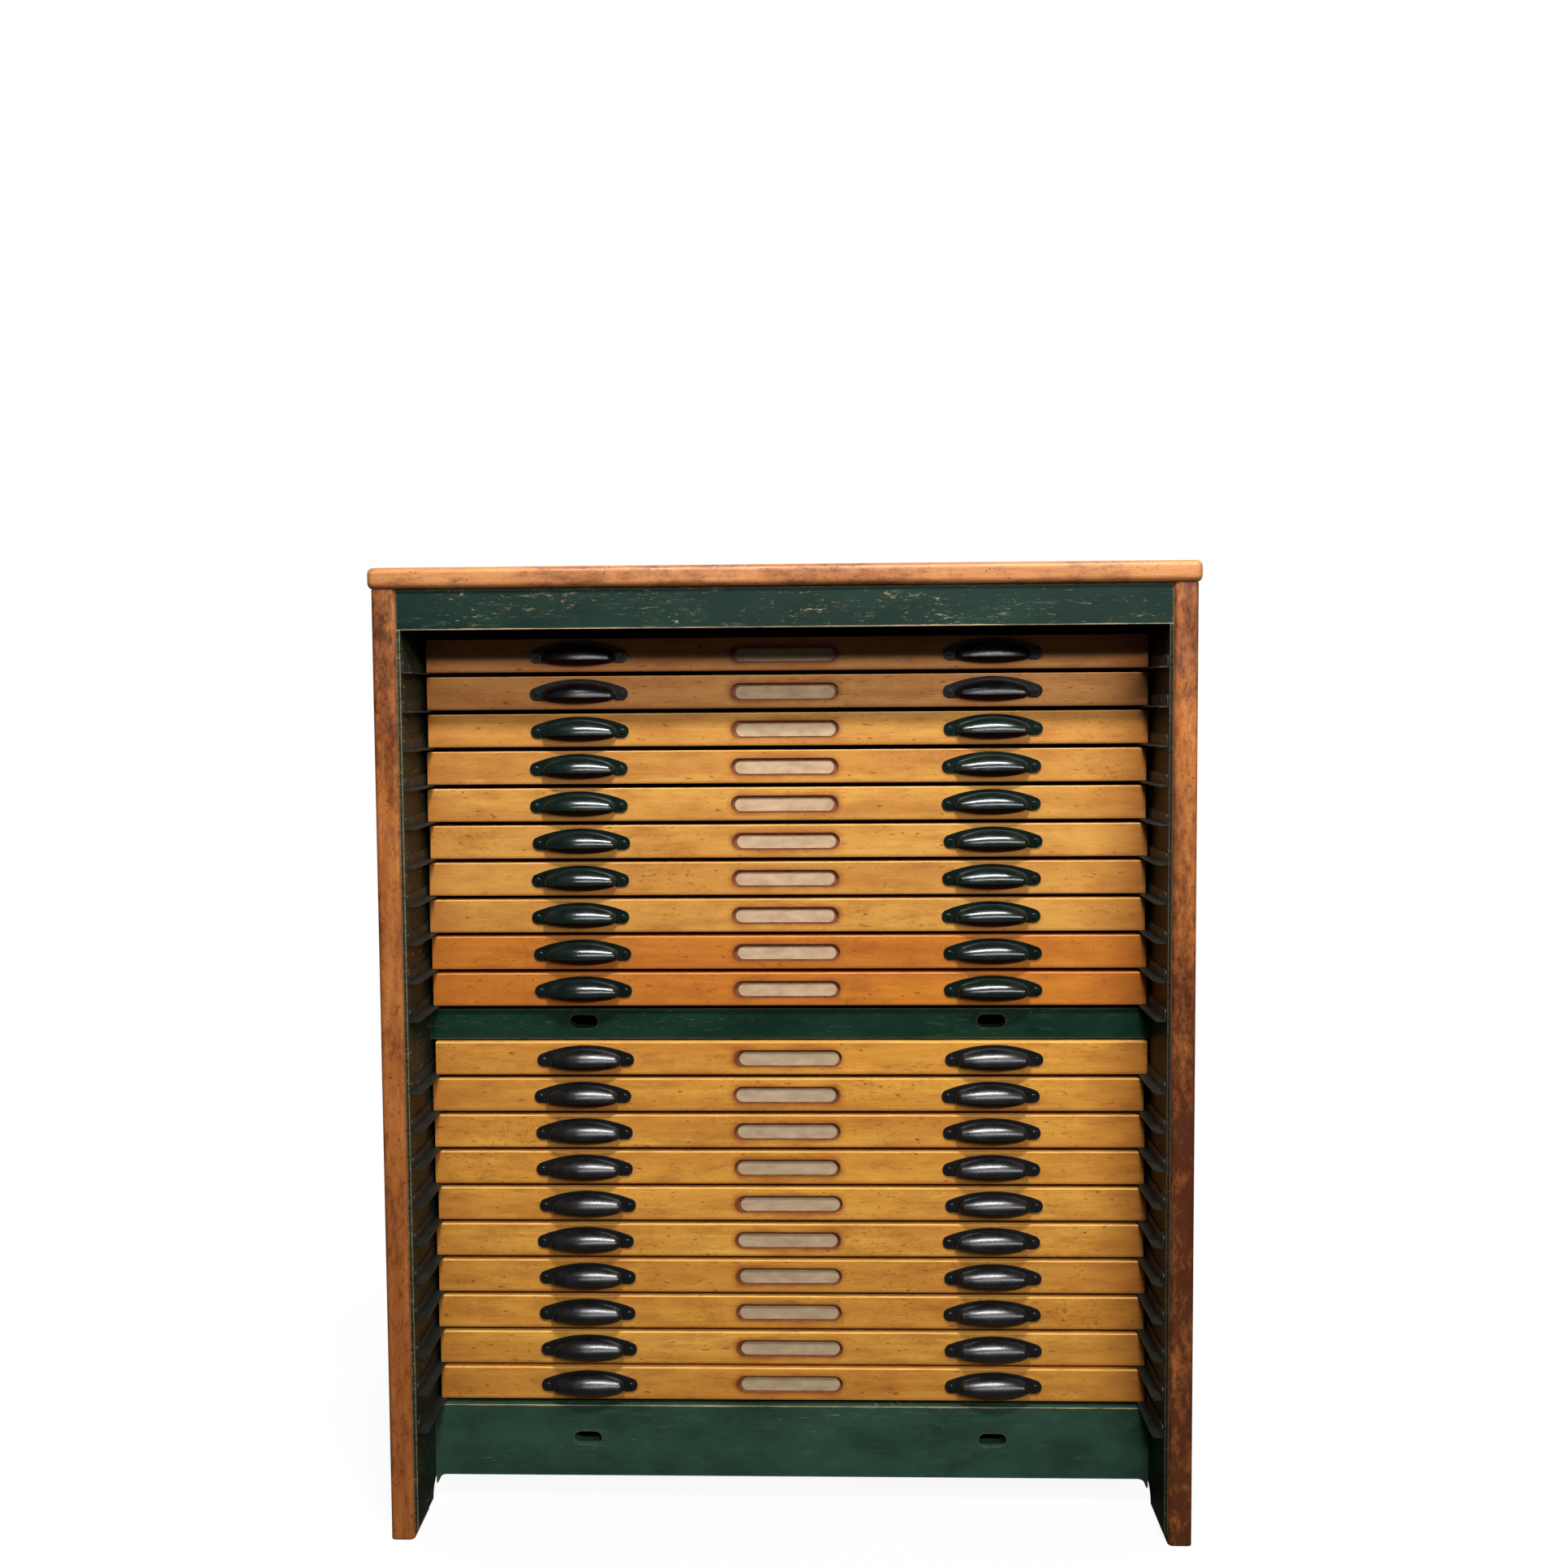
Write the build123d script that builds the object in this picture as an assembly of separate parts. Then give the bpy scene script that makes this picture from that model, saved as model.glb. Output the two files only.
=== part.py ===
from build123d import *
from math import hypot
import os

# A floor-standing cabinet that holds twenty shallow type cases in two groups of ten.
# Millimetres. X is the width, the front faces -Y and Z is up. The origin is on the
# floor, in the middle of the box round the whole cabinet.

# ---------------------------------------------------------------- driving dimensions

# Side frames: a front post and a rear post joined by three rails.
SIDES_WIDTH = 1018.0  # over the outsides of both frames
SIDES_DEPTH = 696.0  # front of the front posts to the back of the rear posts
POST_WIDTH = 30.0  # along X
POST_DEPTH = 66.0  # along Y
POST_ROUND = 6.0  # arrises on the front of a front post
SIDE_RAIL_THICK = 22.0
SIDE_TOP_RAIL_HEIGHT = 70.0
ARCH_ROUND = 24.0  # inner corners of the arch under a side frame
ARCH_SHOULDER = 4.0  # what the arch leaves standing beside each post

# Lining boards inside the side frames.
LINING_THICK = 5.0
LINING_SETBACK = 3.0  # behind the front of the posts

# Top board.
TOP_THICK = 27.0
TOP_OVERHANG = 4.0  # past the side frames, at the front and both ends
TOP_ROUND = 8.0

# Heights from the floor up.
LEG_CLEAR = 36.0  # floor to the bottom rail
BOTTOM_RAIL_HEIGHT = 96.0
MIDDLE_RAIL_HEIGHT = 40.2
TOP_RAIL_HEIGHT = 50.0
CASES_PER_GROUP = 10
CASE_HEIGHT = 43.2
CASE_SPACING_GAP = 5.6  # between one case, or rail, and the case above it
GROUP_TOP_GAP = 2.8  # between the lower group and the middle rail
TOP_RAIL_GAP = 8.0  # between the upper group and the top rail

# Front and back rails.
FRONT_RAIL_THICK = 20.0
TOP_RAIL_SETBACK = 4.0  # behind the front of the posts
CASE_SETBACK = 90.0  # fronts of the cases behind the front of the posts
MIDDLE_RAIL_SETBACK = 8.0  # behind the fronts of the cases
BOTTOM_RAIL_PROUD = 5.0  # in front of the fronts of the cases
APRON_ROUND = 12.0  # lower corners of the bottom rail
APRON_SHOULDER = 2.0  # what is left of the bottom rail beside each lining
BACK_RAIL_THICK = 22.0
BACK_PANEL_THICK = 5.0
BOTTOM_BOARD_THICK = 8.0
BOTTOM_BOARD_LIFT = 4.0  # underside of the bottom board above the edge of the bottom rail

# Slots through the middle and the bottom rail.
SLOT_LENGTH = 37.0
SLOT_WIDTH = 18.0
SLOT_SPACING = 538.0
SLOT_LIFT = 3.0  # above the middle of the rail

# Joinery.
TENON_LENGTH = 18.0
TENON_THICK = 10.0
TENON_SHOULDER = 7.0  # above and below a tenon
TENON_GAP = 0.1
DOWEL_RADIUS = 5.0
DOWEL_IN_TOP = 14.0
DOWEL_IN_FRAME = 26.0
WOOD_SCREW_RADIUS = 2.2
WOOD_SCREW_BITE = 28.0  # length in the end of a rail
WOOD_SCREW_HEAD_RADIUS = 4.5
WOOD_SCREW_HEAD = 3.0
WOOD_SCREW_MARGIN = 11.0  # from the upper and lower edge of a rail
HOLE_GAP = 0.05  # radial, round every shank, dowel and head

# Runners: steel angles on the linings that carry the cases.
RUNNER_REACH = 14.0  # width of the shelf under a case
RUNNER_UPRIGHT = 14.0
RUNNER_THICK = 2.0
RUNNER_ROUND = 5.0
RUNNER_SETBACK = 7.0  # front end behind the front of the posts
RUNNER_SCREW_RADIUS = 1.6
RUNNER_SCREW_LENGTH = 17.0
RUNNER_SCREW_HEAD_RADIUS = 3.0
RUNNER_SCREW_HEAD = 1.2  # sunk into the upright of the angle
RUNNER_SCREW_SETBACK = 16.0  # behind the inner edge of a rear post
RUNNING_GAP = 0.2  # between a case and the runners under it

# Cases.
CASE_SIDE_GAP = 5.5  # between a centred case and each lining
CASE_BACK_GAP = 8.0
CASE_FRONT_THICK = 20.0
CASE_WALL = 12.0
CASE_BOARD = 4.0  # thickness of the bottom
CASE_ROUND = 1.2
DIVIDER_DROP = 3.2  # tops of the dividers below the top of the case
LONG_DIVIDER = 5.0
SHORT_DIVIDER = 4.0
ROW_PARTS = (15.0, 14.0, 12.0, 11.4)  # depths of the rows against each other, from the front
ROW_CELLS = (6, 8, 8, 12)

# Label recess and its card.
LABEL_LENGTH = 139.0
LABEL_HEIGHT = 21.5
LABEL_DEPTH = 4.0
CARD_THICK = 0.8
UPPER_CARD = (129.0, 16.5, 8.25)  # length, height and corner radius
LOWER_CARD = (131.0, 17.5, 8.75)
CARD_DROP = 1.2  # middle of the card below the middle of the recess

# Cup pulls.
PULL_SPACING = 537.0
PULL_LIFT = 15.7  # lip above the lower edge of a case front
DOME_LENGTH = 98.0
DOME_RADIUS = 20.0
DOME_END_RADIUS = 14.0
PULL_WALL = 2.0
FLANGE_HEIGHT = 24.0  # above the lip
EAR_SPACING = 111.0
EAR_RADIUS = 8.5
EAR_LIFT = 4.7  # middle of an ear above the lip
PULL_SCREW_RADIUS = 1.6
PULL_SCREW_LENGTH = 12.0
PULL_SCREW_HEAD_RADIUS = 3.4
PULL_SCREW_HEAD = 1.8

# The cases don't sit quite in the middle: how far each one is to the right, from the
# top case down.
CASE_DRIFT = (1, 1, 1.5, -0.5, -1, 1.5, -0.5, -1, 1, 1.5, 3, -1.5, 0, -0.5, 3, -0.5, 1.5, 0.5, 2, 2)

# ---------------------------------------------------------------- places worked out

half_width = SIDES_WIDTH / 2
frame_inner = half_width - POST_WIDTH
wall = frame_inner - LINING_THICK  # inner face of a lining
back = (SIDES_DEPTH + TOP_OVERHANG) / 2
front = back - SIDES_DEPTH
post_rear = front + POST_DEPTH  # rear face of a front post
rear_post_front = back - POST_DEPTH

case_front = front + CASE_SETBACK
back_rail_front = back - BACK_PANEL_THICK - BACK_RAIL_THICK
case_depth = back_rail_front - CASE_BACK_GAP - case_front
case_half = wall - CASE_SIDE_GAP
case_pitch = CASE_HEIGHT + CASE_SPACING_GAP
group_height = case_pitch * CASES_PER_GROUP - CASE_SPACING_GAP

bottom_rail_top = LEG_CLEAR + BOTTOM_RAIL_HEIGHT
lower_group = bottom_rail_top + CASE_SPACING_GAP
middle_rail_low = lower_group + group_height + GROUP_TOP_GAP
middle_rail_top = middle_rail_low + MIDDLE_RAIL_HEIGHT
upper_group = middle_rail_top + CASE_SPACING_GAP
top_rail_low = upper_group + group_height + TOP_RAIL_GAP
top_under = top_rail_low + TOP_RAIL_HEIGHT

case_levels = [base + case_pitch * step for base in (upper_group, lower_group)
               for step in reversed(range(CASES_PER_GROUP))]
runner_tops = [level - RUNNING_GAP for level in case_levels]
runner_front = front + RUNNER_SETBACK
runner_back = case_front + case_depth
runner_screw_rows = (front + POST_DEPTH / 2, rear_post_front + RUNNER_SCREW_SETBACK)

# Front and back rails that are screwed through the side frames: lower edge, height,
# front face, thickness.
middle_front_rail = (middle_rail_low, MIDDLE_RAIL_HEIGHT, case_front + MIDDLE_RAIL_SETBACK,
                     FRONT_RAIL_THICK)
bottom_front_rail = (LEG_CLEAR, BOTTOM_RAIL_HEIGHT, case_front - BOTTOM_RAIL_PROUD,
                     FRONT_RAIL_THICK)
middle_back_rail = (middle_rail_low, MIDDLE_RAIL_HEIGHT, back_rail_front, BACK_RAIL_THICK)
bottom_back_rail = (LEG_CLEAR, BOTTOM_RAIL_HEIGHT, back_rail_front, BACK_RAIL_THICK)


# ---------------------------------------------------------------- helpers


def block(low, high):
    """A squared board between two opposite corners."""
    size = [b - a for a, b in zip(low, high)]
    middle = [(a + b) / 2 for a, b in zip(low, high)]
    return Pos(*middle) * Box(*size)


def rod_x(radius, x_from, x_to, y, z):
    """A round rod along X."""
    return Pos((x_from + x_to) / 2, y, z) * Rot(0, 90, 0) * Cylinder(radius, abs(x_to - x_from))


def rod_y(radius, y_from, y_to, x, z):
    """A round rod along Y."""
    return Pos(x, (y_from + y_to) / 2, z) * Rot(90, 0, 0) * Cylinder(radius, abs(y_to - y_from))


def lozenge(length, height, corner, y_from, y_to, x, z):
    """An upright plate with rounded corners or half-round ends, from y_from back to y_to."""
    half_round = 2 * corner >= height
    outline = SlotOverall(length, height) if half_round else RectangleRounded(length, height, corner)
    return Pos(x, y_to, z) * extrude(Plane.XZ * outline, y_to - y_from)


def upright_edges(part, x, y):
    """The vertical edges of a part at one place in plan."""
    return [edge for edge in part.edges().filter_by(Axis.Z)
            if abs(edge.center().X - x) < 0.01 and abs(edge.center().Y - y) < 0.01]


def save(name, pieces):
    """Writes one node, which may hold several separate solids."""
    solids = [solid for piece in pieces for solid in piece.solids()]
    node = Compound(children=solids)
    node.label = name
    export_step(node, f"parts/{name}.step")


def right_of(pieces):
    """The same pieces on the other side of the cabinet."""
    return [mirror(piece, Plane.YZ) for piece in pieces]


# ---------------------------------------------------------------- joinery and fasteners


def end_tenons(rail_low, rail_high):
    """Tenons on the X ends of a rail that runs from post to post."""
    y_middle = (rail_low[1] + rail_high[1]) / 2
    z_low, z_high = rail_low[2] + TENON_SHOULDER, rail_high[2] - TENON_SHOULDER
    reach = frame_inner + TENON_LENGTH
    return [block((min(side * frame_inner, side * reach), y_middle - TENON_THICK / 2, z_low),
                  (max(side * frame_inner, side * reach), y_middle + TENON_THICK / 2, z_high))
            for side in (-1, 1)]


def mortise(tenon):
    """The hole for a tenon, larger all round by the tenon's gap."""
    box = tenon.bounding_box()
    gap = Vector(TENON_GAP, TENON_GAP, TENON_GAP)
    return block(tuple(box.min - gap), tuple(box.max + gap))


def side_rail_tenons(z_low, z_high):
    """Tenons on the Y ends of a left side rail."""
    x_middle = -frame_inner - SIDE_RAIL_THICK / 2
    return [block((x_middle - TENON_THICK / 2, y_from, z_low + TENON_SHOULDER),
                  (x_middle + TENON_THICK / 2, y_to, z_high - TENON_SHOULDER))
            for y_from, y_to in ((post_rear - TENON_LENGTH, post_rear),
                                 (rear_post_front, rear_post_front + TENON_LENGTH))]


def rail_screw_spots(rail):
    """Y, the two heights and the outer face of the frame at one end of a screwed rail."""
    z_low, height, y_front, thick = rail
    y = y_front + thick / 2
    heights = (z_low + WOOD_SCREW_MARGIN, z_low + height - WOOD_SCREW_MARGIN)
    in_post = y > rear_post_front
    outer = half_width if in_post else frame_inner + SIDE_RAIL_THICK
    return [(y, z, outer) for z in heights]


def rail_screw_shapes(gap):
    """Every screw through the left side frame into a rail, or its hole when gap is set."""
    shapes = []
    for rail in (middle_front_rail, bottom_front_rail, middle_back_rail, bottom_back_rail):
        for y, z, outer in rail_screw_spots(rail):
            tip = -wall + WOOD_SCREW_BITE + gap
            shank = rod_x(WOOD_SCREW_RADIUS + gap, -outer, tip, y, z)
            head = rod_x(WOOD_SCREW_HEAD_RADIUS + gap, -outer, -outer + WOOD_SCREW_HEAD + gap, y, z)
            shapes.append(shank + head)
    return shapes


def runner_screw_shapes(gap):
    """Every screw of the left runners, flush with the steel, or its hole when gap is set."""
    x_face = -wall + RUNNER_THICK
    shapes = []
    for top in runner_tops:
        for y in runner_screw_rows:
            z = top + RUNNER_UPRIGHT / 2
            shank = rod_x(RUNNER_SCREW_RADIUS + gap, x_face - RUNNER_SCREW_LENGTH - gap, x_face, y, z)
            head = rod_x(RUNNER_SCREW_HEAD_RADIUS + gap, x_face - RUNNER_SCREW_HEAD - gap, x_face, y, z)
            shapes.append(shank + head)
    return shapes


def dowel_spots():
    """Where dowels stand in the tops of the left side frame."""
    x_post = -half_width + POST_WIDTH / 2
    x_rail = -frame_inner - SIDE_RAIL_THICK / 2
    return [(x_post, front + POST_DEPTH / 2), (x_rail, (front + back) / 2),
            (x_post, back - POST_DEPTH / 2)]


def dowels(gap):
    """Dowels between the left side frame and the top board, or their holes."""
    low, high = top_under - DOWEL_IN_FRAME - gap, top_under + DOWEL_IN_TOP + gap
    return [Pos(x, y, (low + high) / 2) * Cylinder(DOWEL_RADIUS + gap, high - low)
            for x, y in dowel_spots()]


# ---------------------------------------------------------------- carcass


def top_board():
    low = (-half_width - TOP_OVERHANG, front - TOP_OVERHANG, top_under)
    high = (half_width + TOP_OVERHANG, back, top_under + TOP_THICK)
    board = block(low, high)
    corners = upright_edges(board, low[0], low[1]) + upright_edges(board, high[0], low[1])
    board = fillet(corners, TOP_ROUND)
    rims = [edge for edge in board.edges()
            if abs(edge.tangent_at(0.5).Z) < 0.01 and edge.center().Y < back - 0.01]
    board = fillet(rims, TOP_ROUND)
    holes = dowels(HOLE_GAP)
    return board - (holes + right_of(holes))


def top_rail_corners():
    y = front + TOP_RAIL_SETBACK
    return (-frame_inner, y, top_rail_low), (frame_inner, y + FRONT_RAIL_THICK, top_under)


def back_top_rail_corners():
    y = back_rail_front
    return (-frame_inner, y, top_rail_low), (frame_inner, y + BACK_RAIL_THICK, top_under)


def tenoned_rail(corners):
    """A rail with a tenon at each end."""
    low, high = corners
    rail = block(low, high)
    for tenon in end_tenons(low, high):
        rail += tenon
    return rail


def side_rail_levels():
    """Lower and upper edge of each side rail, from the top down."""
    arch_end = LEG_CLEAR - ARCH_ROUND
    return [(top_under - SIDE_TOP_RAIL_HEIGHT, top_under), (middle_rail_low, middle_rail_top),
            (arch_end, bottom_rail_top)]


def left_posts():
    """The front and the rear post of the left side frame."""
    posts = []
    for y_from, y_to in ((front, post_rear), (rear_post_front, back)):
        posts.append(block((-half_width, y_from, 0), (-frame_inner, y_to, top_under)))
    arrises = upright_edges(posts[0], -half_width, front) + upright_edges(posts[0], -frame_inner, front)
    posts[0] = fillet(arrises, POST_ROUND)
    cuts = dowels(HOLE_GAP) + runner_screw_shapes(HOLE_GAP) + rail_screw_shapes(HOLE_GAP)
    cuts += [mortise(tenon) for low, high in side_rail_levels() for tenon in side_rail_tenons(low, high)]
    cuts += [mortise(end_tenons(*corners)[0]) for corners in (top_rail_corners(), back_top_rail_corners())]
    return [post - cuts for post in posts]


def side_arch(x_from, x_to):
    """The space under a side frame, between its posts."""
    y_from, y_to = post_rear + ARCH_SHOULDER, rear_post_front - ARCH_SHOULDER
    low = LEG_CLEAR - ARCH_ROUND * 2
    space = block((x_from, y_from, low), (x_to, y_to, LEG_CLEAR))
    upper = [edge for edge in space.edges().filter_by(Axis.X) if edge.center().Z > LEG_CLEAR - 0.01]
    return fillet(upper, ARCH_ROUND)


def left_side_rails():
    """The three rails between the left posts, the lowest one arched."""
    x_from, x_to = -frame_inner - SIDE_RAIL_THICK, -frame_inner
    rails = []
    for z_low, z_high in side_rail_levels():
        rail = block((x_from, post_rear, z_low), (x_to, rear_post_front, z_high))
        for tenon in side_rail_tenons(z_low, z_high):
            rail += tenon
        rails.append(rail)
    rails[-1] -= side_arch(x_from, x_to)
    cuts = dowels(HOLE_GAP) + rail_screw_shapes(HOLE_GAP)
    return [rail - cuts for rail in rails]


def left_lining():
    """The thin board inside the left frame, up to the underside of the top rail."""
    board = block((-frame_inner, front + LINING_SETBACK, LEG_CLEAR - ARCH_ROUND), (-wall, back, top_rail_low))
    board -= side_arch(-frame_inner, -wall)
    return board - (runner_screw_shapes(HOLE_GAP) + rail_screw_shapes(HOLE_GAP))


def slots(rail):
    """The two long slots through a front rail."""
    z_low, height, y_front, thick = rail
    return [lozenge(SLOT_LENGTH, SLOT_WIDTH, SLOT_WIDTH / 2, y_front, y_front + thick,
                    side * SLOT_SPACING / 2, z_low + height / 2 + SLOT_LIFT)
            for side in (-1, 1)]


def screwed_rail(rail):
    """A rail between the linings, with the holes for its end screws."""
    z_low, height, y_front, thick = rail
    board = block((-wall, y_front, z_low), (wall, y_front + thick, z_low + height))
    holes = rail_screw_shapes(HOLE_GAP)
    return board - (holes + right_of(holes))


def bottom_rail():
    """The bottom rail, with a rounded shoulder down each lining."""
    z_low, height, y_front, thick = bottom_front_rail
    foot = z_low - APRON_ROUND
    board = block((-wall, y_front, foot), (wall, y_front + thick, z_low + height))
    clear = wall - APRON_SHOULDER
    space = block((-clear, y_front, foot - APRON_ROUND), (clear, y_front + thick, z_low))
    upper = [edge for edge in space.edges().filter_by(Axis.Y) if edge.center().Z > z_low - 0.01]
    holes = rail_screw_shapes(HOLE_GAP)
    return board - fillet(upper, APRON_ROUND) - (holes + right_of(holes)) - slots(bottom_front_rail)


def back_rails():
    return [tenoned_rail(back_top_rail_corners()), screwed_rail(middle_back_rail),
            screwed_rail(bottom_back_rail)]


def back_panel():
    return block((-wall, back - BACK_PANEL_THICK, LEG_CLEAR), (wall, back, top_under))


def bottom_board():
    under = LEG_CLEAR + BOTTOM_BOARD_LIFT
    y_from = case_front - BOTTOM_RAIL_PROUD + FRONT_RAIL_THICK
    return block((-wall, y_from, under), (wall, back_rail_front, under + BOTTOM_BOARD_THICK))


def left_runners():
    """One steel angle on the left lining for each case."""
    runners = []
    for top in runner_tops:
        shelf = block((-wall, runner_front, top - RUNNER_THICK), (-wall + RUNNER_REACH, runner_back, top))
        shelf = fillet(upright_edges(shelf, -wall + RUNNER_REACH, runner_front), RUNNER_ROUND)
        upright = block((-wall, runner_front, top - RUNNER_THICK),
                        (-wall + RUNNER_THICK, runner_back, top + RUNNER_UPRIGHT))
        corner = [edge for edge in upright.edges().filter_by(Axis.X)
                  if edge.center().Y < runner_front + 0.01 and edge.center().Z > top]
        runners.append(shelf + fillet(corner, RUNNER_ROUND))
    holes = runner_screw_shapes(HOLE_GAP)
    per_runner = len(runner_screw_rows)
    return [runner - holes[per_runner * index:per_runner * (index + 1)]
            for index, runner in enumerate(runners)]


# ---------------------------------------------------------------- cup pull
# Its own frame: Y is 0 on the wood, the pull stands out to -Y, and Z is 0 at the lip.


def dome_face(inset):
    """Half outline of the dome seen from the front, closed along its lip."""
    end_x = DOME_LENGTH / 2 - DOME_END_RADIUS
    # The long arc over the top touches both end arcs.
    drop = (end_x ** 2 + DOME_RADIUS ** 2 - DOME_END_RADIUS ** 2) / (2 * (DOME_RADIUS - DOME_END_RADIUS))
    low = DOME_RADIUS - drop
    reach = hypot(end_x, low)
    end_radius, long_radius = DOME_END_RADIUS - inset, drop - inset
    touch = (end_x + end_radius * end_x / reach, -end_radius * low / reach)
    # Halfway round an end arc, between the lip and the touching point.
    halfway = (1 + end_x / reach, -low / reach)
    bend = hypot(*halfway)
    between = (end_x + end_radius * halfway[0] / bend, end_radius * halfway[1] / bend)
    right_arc = ThreePointArc((end_x + end_radius, 0, 0), (between[0], 0, between[1]),
                              (touch[0], 0, touch[1]))
    long_arc = ThreePointArc((touch[0], 0, touch[1]), (0, 0, low + long_radius), (-touch[0], 0, touch[1]))
    left_arc = ThreePointArc((-touch[0], 0, touch[1]), (-between[0], 0, between[1]),
                             (-end_x - end_radius, 0, 0))
    lip = Line((-end_x - end_radius, 0, 0), (end_x + end_radius, 0, 0))
    return make_face([right_arc, long_arc, left_arc, lip])


def flange_face():
    """Outline of the flange: a low arch that runs into an ear at each end."""
    ear_x = EAR_SPACING / 2
    # The arch touches both ears from outside.
    rise = FLANGE_HEIGHT - EAR_LIFT
    radius = (ear_x ** 2 + rise ** 2 - EAR_RADIUS ** 2) / (2 * (rise - EAR_RADIUS))
    low = FLANGE_HEIGHT - radius
    reach = hypot(ear_x, EAR_LIFT - low)
    touch = (ear_x + EAR_RADIUS * ear_x / reach, EAR_LIFT + EAR_RADIUS * (EAR_LIFT - low) / reach)
    arch = ThreePointArc((-touch[0], 0, touch[1]), (0, 0, FLANGE_HEIGHT), (touch[0], 0, touch[1]))
    foot = EAR_LIFT - EAR_RADIUS
    right_ear = ThreePointArc((touch[0], 0, touch[1]), (ear_x + EAR_RADIUS, 0, EAR_LIFT), (ear_x, 0, foot))
    base = Line((ear_x, 0, foot), (-ear_x, 0, foot))
    left_ear = ThreePointArc((-ear_x, 0, foot), (-ear_x - EAR_RADIUS, 0, EAR_LIFT), (-touch[0], 0, touch[1]))
    return make_face([arch, right_ear, base, left_ear])


def pull_casting():
    """Dome and flange in one piece, open at the back and below."""
    outward = (0, -1, 0)
    dome = revolve(dome_face(0), Axis.X, 90) - revolve(dome_face(PULL_WALL), Axis.X, 90)
    flange = extrude(flange_face(), PULL_WALL, dir=outward)
    flange -= extrude(dome_face(PULL_WALL), PULL_WALL, dir=outward)
    inner = DOME_LENGTH / 2 - PULL_WALL
    flange -= block((-inner, -PULL_WALL, -EAR_RADIUS), (inner, 0, 0))
    holes = [rod_y(PULL_SCREW_RADIUS + HOLE_GAP, -PULL_WALL, 0, side * EAR_SPACING / 2, EAR_LIFT)
             for side in (-1, 1)]
    return (dome + flange) - holes


def pull_screws():
    """The two screws of a pull."""
    screws = []
    for side in (-1, 1):
        x = side * EAR_SPACING / 2
        head = rod_y(PULL_SCREW_HEAD_RADIUS, -PULL_WALL - PULL_SCREW_HEAD, -PULL_WALL, x, EAR_LIFT)
        rim = head.edges().sort_by(Axis.Y)[0]
        shank = rod_y(PULL_SCREW_RADIUS, -PULL_WALL, PULL_SCREW_LENGTH, x, EAR_LIFT)
        screws.append(fillet(rim, PULL_SCREW_HEAD / 2) + shank)
    return screws


# ---------------------------------------------------------------- case
# Its own frame: X is 0 in the middle, Y is 0 at the front, Z is 0 underneath.


def case_front_board():
    board = block((-case_half, 0, 0), (case_half, CASE_FRONT_THICK, CASE_HEIGHT))
    board = fillet(board.faces().sort_by(Axis.Y)[0].edges(), CASE_ROUND)
    board -= lozenge(LABEL_LENGTH, LABEL_HEIGHT, LABEL_HEIGHT / 2, 0, LABEL_DEPTH, 0,
                     CASE_HEIGHT / 2)
    holes = [rod_y(PULL_SCREW_RADIUS + HOLE_GAP, 0, PULL_SCREW_LENGTH + HOLE_GAP,
                   pull * PULL_SPACING / 2 + ear * EAR_SPACING / 2, PULL_LIFT + EAR_LIFT)
             for pull in (-1, 1) for ear in (-1, 1)]
    return board - holes


def case_box():
    """Sides, back and bottom."""
    inner = case_half - CASE_WALL
    rear = case_depth - CASE_WALL
    sides = [block((x, CASE_FRONT_THICK, 0), (x + CASE_WALL, case_depth, CASE_HEIGHT))
             for x in (-case_half, inner)]
    back_board = block((-inner, rear, 0), (inner, case_depth, CASE_HEIGHT))
    board = block((-inner, CASE_FRONT_THICK, 0), (inner, rear, CASE_BOARD))
    return sides + [back_board, board]


def case_rows():
    """Front and rear of each row of compartments, from the front."""
    dividers = LONG_DIVIDER * (len(ROW_PARTS) - 1)
    share = (case_depth - CASE_FRONT_THICK - CASE_WALL - dividers) / sum(ROW_PARTS)
    rows, y = [], CASE_FRONT_THICK
    for part in ROW_PARTS:
        rows.append((y, y + part * share))
        y += part * share + LONG_DIVIDER
    return rows


def case_dividers():
    """Long strips from side to side, and short ones between them."""
    inner = case_half - CASE_WALL
    top = CASE_HEIGHT - DIVIDER_DROP
    rows = case_rows()
    strips = [block((-inner, rear, CASE_BOARD), (inner, rear + LONG_DIVIDER, top)) for _, rear in rows[:-1]]
    for (y_from, y_to), cells in zip(rows, ROW_CELLS):
        step = (2 * inner + SHORT_DIVIDER) / cells
        strips += [block((-inner + step * index - SHORT_DIVIDER, y_from, CASE_BOARD),
                         (-inner + step * index, y_to, top))
                   for index in range(1, cells)]
    return strips


def label_card(size):
    length, height, corner = size
    return lozenge(length, height, corner, LABEL_DEPTH - CARD_THICK, LABEL_DEPTH, 0,
                   CASE_HEIGHT / 2 - CARD_DROP)


def place(pieces, drift, level):
    """Moves the pieces of a case to their place in the cabinet."""
    return [Pos(drift, case_front, level) * piece for piece in pieces]


# ---------------------------------------------------------------- build

os.makedirs("parts", exist_ok=True)

save("top_board", [top_board()])

front_post, rear_post = left_posts()
save("left_front_post", [front_post])
save("left_rear_post", [rear_post])
save("right_front_post", right_of([front_post]))
save("right_rear_post", right_of([rear_post]))

side_rails = left_side_rails()
save("left_side_rails", side_rails)
save("right_side_rails", right_of(side_rails))

lining = left_lining()
save("left_lining", [lining])
save("right_lining", right_of([lining]))

save("top_rail", [tenoned_rail(top_rail_corners())])
save("middle_rail", [screwed_rail(middle_front_rail) - slots(middle_front_rail)])
save("bottom_rail", [bottom_rail()])
save("back_rails", back_rails())
save("back_panel", [back_panel()])
save("bottom_board", [bottom_board()])

runners = left_runners()
save("left_runners", runners)
save("right_runners", right_of(runners))

screws = runner_screw_shapes(0)
save("runner_screws", screws + right_of(screws))

rail_screws = rail_screw_shapes(0)
save("rail_screws", rail_screws + right_of(rail_screws))

top_dowels = dowels(0)
save("top_dowels", top_dowels + right_of(top_dowels))

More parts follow.
